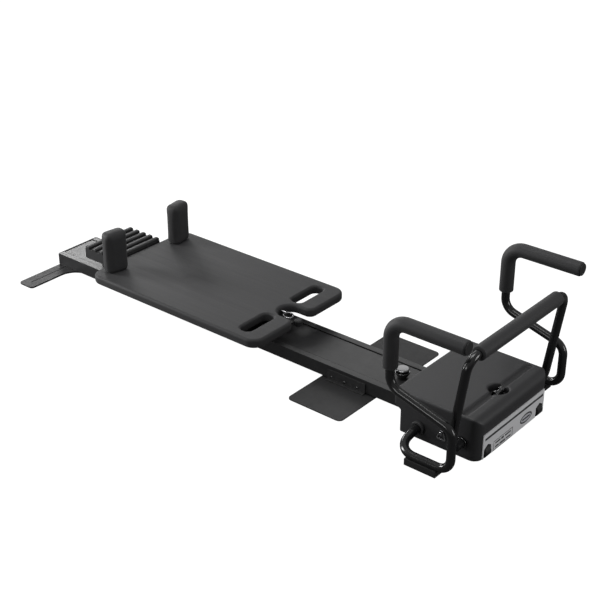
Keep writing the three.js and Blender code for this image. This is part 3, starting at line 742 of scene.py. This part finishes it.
bracket_bolts = []
for sign in (-1, 1):
    side_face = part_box("wing_bracket_right")[0][1] / MM * (1 if sign < 0 else -1)
    bracket_bolts += [((x, side_face, 26), (0, sign, 0)) for x in (360, 413, 466)]
bolts("bracket_bolts", bracket_bolts, 5.0, 2.2, dark_polish, "plate_black_steel", "frame")
cap_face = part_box("rail_end_cap")[0][0] / MM
cap_screws = [((cap_face, y, 33), (-1, 0, 0)) for y in (-82, 82)]
bolts("end_cap_screws", cap_screws, 3.6, 0.6, dark_polish, "black_moulding", "frame")
print("marks and fasteners made")

# %% [markdown]
# ## The padded deck
# The carriage is a board with a firm padded cover, so its outline is crisp in plan and soft at every edge.
# Rows of points follow the outline around the edge: each row is the same outline moved inwards a little and
# set a little higher, along a quarter circle. The hand slots are rows of their own inside it, and the top
# and the underside are filled between them.

# %% Deck outline
DECK = {"rear": -652, "front": 146, "half": 245, "bottom": 102, "top": 136, "corner": 45, "edge": 10}
NOTCH = {"centre": 89, "radius": 44, "lip": 28}
SLOT = {"rear": 32, "front": 80, "inner": 62, "outer": 204, "corner": 20, "lip": 9}


def arc(x, y, radius, start, end, steps=12):
    """Points on an arc, from a start angle to an end angle in degrees."""
    turns = [math.radians(start + (end - start) * step / steps) for step in range(steps + 1)]
    return [(x + radius * math.cos(turn), y + radius * math.sin(turn)) for turn in turns]


def rounded_rectangle(x0, y0, x1, y1, radius):
    return (
        arc(x1 - radius, y0 + radius, radius, -90, 0)
        + arc(x1 - radius, y1 - radius, radius, 0, 90)
        + arc(x0 + radius, y1 - radius, radius, 90, 180)
        + arc(x0 + radius, y0 + radius, radius, 180, 270)
    )


def deck_outline(inset):
    """The deck's outline in millimetres, moved inwards by an inset."""
    rear, front, half = DECK["rear"] + inset, DECK["front"] - inset, DECK["half"] - inset
    corner = DECK["corner"] - inset
    centre, radius, lip = NOTCH["centre"], NOTCH["radius"] + inset, NOTCH["lip"] - inset
    return (
        arc(front - corner, -half + corner, corner, -90, 0)
        + arc(front - lip, -radius - lip, lip, 0, 90)
        + arc(centre, 0, radius, 270, 90, 28)
        + arc(front - lip, radius + lip, lip, -90, 0)
        + arc(front - corner, half - corner, corner, 0, 90)
        + arc(rear + corner, half - corner, corner, 90, 180)
        + arc(rear + corner, -half + corner, corner, 180, 270)
    )


def slot_outline(sign, grow):
    """A hand slot's outline in millimetres, widened by an amount, run the other way round."""
    low, high = sorted((sign * SLOT["inner"], sign * SLOT["outer"]))
    rear, front, corner = SLOT["rear"] - grow, SLOT["front"] + grow, SLOT["corner"] + grow
    return rounded_rectangle(rear, low - grow, front, high + grow, corner)[::-1]


# %% Deck body
def edge_rows(outline, edge):
    """The outline at each height from the underside to the top, with both edges rounded."""
    bottom, top, steps = DECK["bottom"], DECK["top"], 5
    turns = [0.5 * math.pi * step / steps for step in range(steps + 1)]
    lower = [(edge * (1.0 - math.sin(turn)), bottom + edge * (1.0 - math.cos(turn))) for turn in turns]
    upper = [(inset, top - (height - bottom)) for inset, height in lower[::-1]]
    return [[(x, y, height) for x, y in outline(inset)] for inset, height in lower + upper]


def rim(shell, rows):
    """Walls between rows of points. Returns the lowest and the highest loop of edges."""
    rings = [[shell.verts.new([value * MM for value in point]) for point in row] for row in rows]
    for below, above in zip(rings, rings[1:]):
        for number in range(len(below)):
            after = (number + 1) % len(below)
            shell.faces.new((below[number], below[after], above[after], above[number]))
    return [[ring[i - 1] for i in range(len(ring))] for ring in (rings[0], rings[-1])]


def deck_body():
    shell = bmesh.new()
    walls = [rim(shell, edge_rows(deck_outline, DECK["edge"]))]
    for sign in (-1, 1):
        walls.append(rim(shell, edge_rows(lambda grow: slot_outline(sign, grow), SLOT["lip"])))
    for level in (0, 1):
        loops = [wall[level] for wall in walls]
        edges = [shell.edges.get((loop[i - 1], loop[i])) for loop in loops for i in range(len(loop))]
        bmesh.ops.triangle_fill(shell, use_beauty=True, edges=[edge for edge in edges if edge])
    bmesh.ops.remove_doubles(shell, verts=shell.verts, dist=0.01 * MM)
    bmesh.ops.recalc_face_normals(shell, faces=shell.faces)
    mesh = bpy.data.meshes.new("deck_padding")
    shell.to_mesh(mesh)
    shell.free()
    piece = bpy.data.objects.new("deck_padding", mesh)
    bpy.context.collection.objects.link(piece)
    smooth_by_angle(piece, 40.0)
    return flat_faces_kept_flat(piece)


deck = fitted(deck_body(), deck_skin, "deck_skin", "carriage", "carriage_deck")
print("deck", len(deck.data.polygons), "faces")

# %% [markdown]
# ## The shoulder rests
# Each rest is a firm block of foam in the same skin. Foam under a stretched skin bulges a little in the
# middle of each face. A short cloth simulation with slight pressure starts from a slightly small block and
# swells it. The foam is firm, so every point is held to about a millimetre of travel, and the result is
# evened out to lose its lumps.

# %% Swell a foam block
SWELL_VOXEL = 4.5 * MM
SWELL_FRAMES = 20
SWELL_MOST_MM = 1.2
SWELL_START = 0.985
EVEN_PASSES = 10


def capped(moved, start, most):
    step = moved - start
    return start + step * min(1.0, most / max(step.length, 1e-9))


def swollen(piece, cap_mm, low, high):
    """Blows a closed block up a little, but never past its box."""
    cubes = piece.modifiers.new("rebuild", "REMESH")
    cubes.mode = "VOXEL"
    cubes.voxel_size = SWELL_VOXEL
    baked(piece)
    before = [vertex.co.copy() for vertex in piece.data.vertices]
    cloth = piece.modifiers.new("swell", "CLOTH")
    cloth.settings.use_pressure = True
    cloth.settings.uniform_pressure_force = 4.0
    cloth.settings.effector_weights.gravity = 0.0
    scene = bpy.context.scene
    for number in range(1, SWELL_FRAMES + 1):
        scene.frame_set(number)
    baked(piece)
    scene.frame_set(1)
    for vertex, start in zip(piece.data.vertices, before):
        place = capped(vertex.co, start, cap_mm * MM)
        vertex.co = [min(max(value, a), b) for value, a, b in zip(place, low, high)]
    even = piece.modifiers.new("even_out", "SMOOTH")
    even.factor = 0.5
    even.iterations = EVEN_PASSES
    rounder = piece.modifiers.new("rounder", "SUBSURF")
    rounder.levels = rounder.render_levels = 1
    return baked(piece)


for side in both:
    node = "shoulder_rest_" + side
    low, high = (Vector(corner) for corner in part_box(node))
    middle = (low + high) / 2
    block = merged_copy("shoulder_pad_" + side, [node])
    for vertex in block.data.vertices:
        vertex.co = middle + (vertex.co - middle) * SWELL_START
        if vertex.co.z < low.z + 0.03:
            vertex.co.z = low.z + (vertex.co.z - low.z) * 0.4
    block = swollen(block, SWELL_MOST_MM, low, high)
    smooth_by_angle(block, 60.0)
    fitted(block, deck_skin, "deck_skin", "carriage", node)
    print(block.name, len(block.data.polygons), "faces")

# %% [markdown]
# ## Floor and light
# The machine is almost all black, so its shape reads by what it reflects. Large soft lights hang over it
# and behind it, and the low part of the room is dim, which leaves the sides dark and puts highlights on the
# tubes and rounded edges. The plain floor and the room's backdrop are pale to the eye but give the machine
# only little light.

# %% Floor and room
PALE = (1.0, 1.0, 1.0, 1.0)


def seen_directly(tree):
    """1 where the eye looks straight at it, 0 for its light on other things."""
    return tree.nodes.new("ShaderNodeLightPath").outputs["Is Camera Ray"]


def plain_floor():
    mesh = bpy.data.meshes.new("floor")
    size = 30.0
    corners = [(-size, -size, 0), (size, -size, 0), (size, size, 0), (-size, size, 0)]
    mesh.from_pydata(corners, [], [(0, 1, 2, 3)])
    floor = bpy.data.objects.new("floor", mesh)
    bpy.context.collection.objects.link(floor)
    pale = Finish("pale_floor", base_color=(0.12, 0.12, 0.12, 1.0), roughness=0.95, specular_ior_level=0.0)
    pale.set(emission_color=Flow(pale, seen_directly(pale.tree)), emission_strength=1.0)
    mesh.materials.append(pale.material)


def dim_room(low, high):
    """A room that is dim at the floor and brighter overhead, with a pale backdrop."""
    room = bpy.data.worlds.new("room")
    room.use_nodes = True
    tree = room.node_tree
    back = tree.nodes["Background"]
    back.inputs["Color"].default_value = PALE
    place = tree.nodes.new("ShaderNodeTexCoord")
    parts = tree.nodes.new("ShaderNodeSeparateXYZ")
    rise = tree.nodes.new("ShaderNodeMapRange")
    rise.inputs["To Min"].default_value = low
    rise.inputs["To Max"].default_value = high
    pick = tree.nodes.new("ShaderNodeMix")
    pick.inputs["B"].default_value = 1.0
    links = [
        (place.outputs["Generated"], parts.inputs[0]),
        (parts.outputs["Z"], rise.inputs["Value"]),
        (seen_directly(tree), pick.inputs["Factor"]),
        (rise.outputs["Result"], pick.inputs["A"]),
        (pick.outputs["Result"], back.inputs["Strength"]),
    ]
    for out, into in links:
        tree.links.new(out, into)
    bpy.context.scene.world = room


plain_floor()
dim_room(0.16, 0.5)
bpy.context.scene.view_settings.view_transform = "Standard"

# %% Lights
def soft_light(name, place, target, size, power):
    data = bpy.data.lights.new(name, "AREA")
    data.shape = "RECTANGLE"
    data.size, data.size_y = size
    data.energy = power
    lamp = bpy.data.objects.new(name, data)
    lamp.location = place
    lamp.rotation_euler = (Vector(target) - Vector(place)).to_track_quat("-Z", "Y").to_euler()
    lamp.visible_camera = False
    bpy.context.collection.objects.link(lamp)


# Name, place, target, size in metres, power in watts.
LIGHTS = [
    ("behind", (-2.2, 2.9, 1.9), (0.0, 0.0, 0.1), (2.4, 1.4), 18.0),
    ("overhead", (0.2, -0.2, 3.2), (0.1, 0.0, 0.0), (1.8, 1.2), 38.0),
    ("far_end", (-3.1, 1.5, 1.35), (-0.95, 0.0, 0.0), (0.9, 0.6), 26.0),
    ("left_strip", (-2.7, -1.2, 0.8), (0.9, -0.2, 0.15), (0.7, 1.6), 75.0),
    ("near_side", (0.2, -4.2, 1.3), (0.5, -0.2, 0.1), (2.2, 0.8), 30.0),
    ("front_right", (3.4, 0.9, 0.9), (0.9, 0.0, 0.1), (0.9, 1.2), 22.0),
]
for light in LIGHTS:
    soft_light(*light)
print("stage set")
